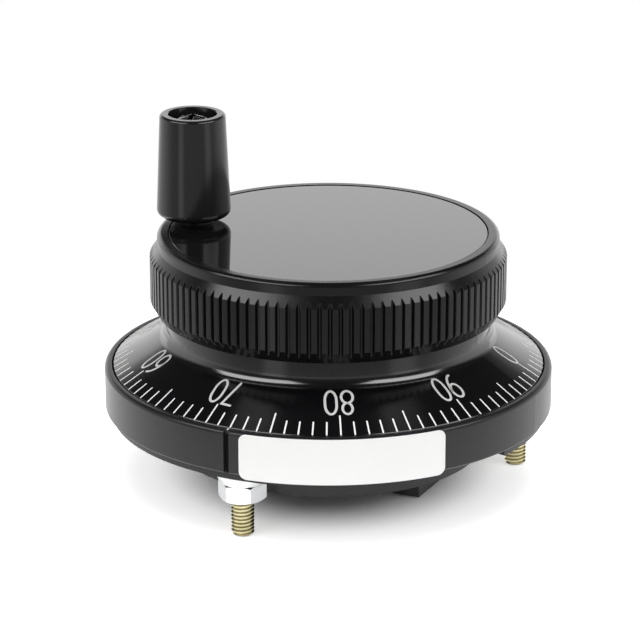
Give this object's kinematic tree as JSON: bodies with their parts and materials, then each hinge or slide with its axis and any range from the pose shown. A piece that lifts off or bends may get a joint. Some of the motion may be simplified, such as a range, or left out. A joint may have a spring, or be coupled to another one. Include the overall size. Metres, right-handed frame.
{
  "type": "pulse generator handwheel",
  "caption": "Panel-mounted manual pulse generator: a knurled handwheel with a graduated dial and turning crank grip in a round flange with studs, and terminals behind.",
  "frame": {"origin": "centre of the flange's flat rear face, which meets the panel, on the wheel's axis", "axes": "+Z along the wheel's axis, out of the panel towards the person turning it; the index groove and one stud are at -Y; +X is to their right with the index groove at the bottom"},
  "size_m": [0.06, 0.0601, 0.0484],
  "materials": {
    "housing_black": "satin moulded",
    "label_white": "smooth paper film",
    "stud_zinc": "yellow passivated thread",
    "bright_zinc": "bright zinc plate",
    "cover_black": "satin moulded",
    "block_black": "satin moulded",
    "contact_brass": "bare",
    "board_green": "solder mask",
    "capacitor_tan": "ceramic",
    "bearing_steel": "ground",
    "black_steel": "black oxide",
    "disc_steel": "etched sheet",
    "hub_aluminium": "turned",
    "wheel_black": "satin with glossy rim",
    "dial_black": "glossy with white graduations",
    "disc_gloss_black": "mirror gloss",
    "grip_gloss_black": "polished",
    "spindle_steel": "black oxide"
  },
  "bodies": {
    "housing": {"flange_housing": "housing_black", "label": "label_white", "mounting_studs": "stud_zinc", "lock_washers": "bright_zinc", "stud_nuts": "bright_zinc", "rear_cover": "cover_black", "cover_screws": "bright_zinc", "terminal_block": "block_black", "terminal_lugs": "contact_brass", "terminal_screws": "bright_zinc", "circuit_board": "board_green", "optical_sensor": "block_black", "sensor_leads": "bright_zinc", "line_driver_chip": "block_black", "board_capacitors": "capacitor_tan", "front_bearing_outer": "bearing_steel", "rear_bearing_outer": "bearing_steel", "click_plug": "black_steel", "click_spring": "bearing_steel"},
    "wheel": {"handwheel": "wheel_black", "dial": "dial_black", "dial_screws": "bright_zinc", "wheel_washer": "bright_zinc", "wheel_screw": "black_steel", "top_disc": "disc_gloss_black", "shaft": "bearing_steel", "preload_washer": "bearing_steel", "shaft_circlip": "black_steel", "front_bearing_inner": "bearing_steel", "rear_bearing_inner": "bearing_steel", "code_disc": "disc_steel", "disc_hub": "hub_aluminium", "hub_screw": "black_steel", "click_ring": "disc_steel", "grip_spindle": "spindle_steel", "grip_washer": "black_steel"},
    "crank_grip": {"grip": "grip_gloss_black"},
    "click_ball": {"click_ball": "bearing_steel"},
    "front_cage": {"front_bearing_balls": "bearing_steel", "front_bearing_cage": "contact_brass"},
    "rear_cage": {"rear_bearing_balls": "bearing_steel", "rear_bearing_cage": "contact_brass"}
  },
  "joints": [
    {"name": "wheel_spin", "type": "hinge", "parent": "housing", "child": "wheel", "pos_m": [0, 0, 0.01202], "axis": [0, 0, 1], "continuous": true},
    {"name": "grip_spin", "type": "hinge", "parent": "wheel", "child": "crank_grip", "pos_m": [-0.01827, -0.00349, 0.0325], "axis": [0, 0, 1], "continuous": true},
    {"name": "click_press", "type": "slide", "parent": "housing", "child": "click_ball", "axis": [0, 0, 1], "range_m": [-0.0003, 0], "stiffness_N_per_m": 400, "springref_m": 0.001, "deforming": ["click_spring"]},
    {"name": "front_cage_spin", "type": "hinge", "parent": "housing", "child": "front_cage", "pos_m": [0, 0, 0.01452], "axis": [0, 0, 1], "continuous": true},
    {"name": "rear_cage_spin", "type": "hinge", "parent": "housing", "child": "rear_cage", "pos_m": [0, 0, 0.00802], "axis": [0, 0, 1], "continuous": true}
  ],
  "couplings": [
    {"joint": "front_cage_spin", "follows": "wheel_spin", "ratio": 0.39583},
    {"joint": "rear_cage_spin", "follows": "wheel_spin", "ratio": 0.39583}
  ]
}
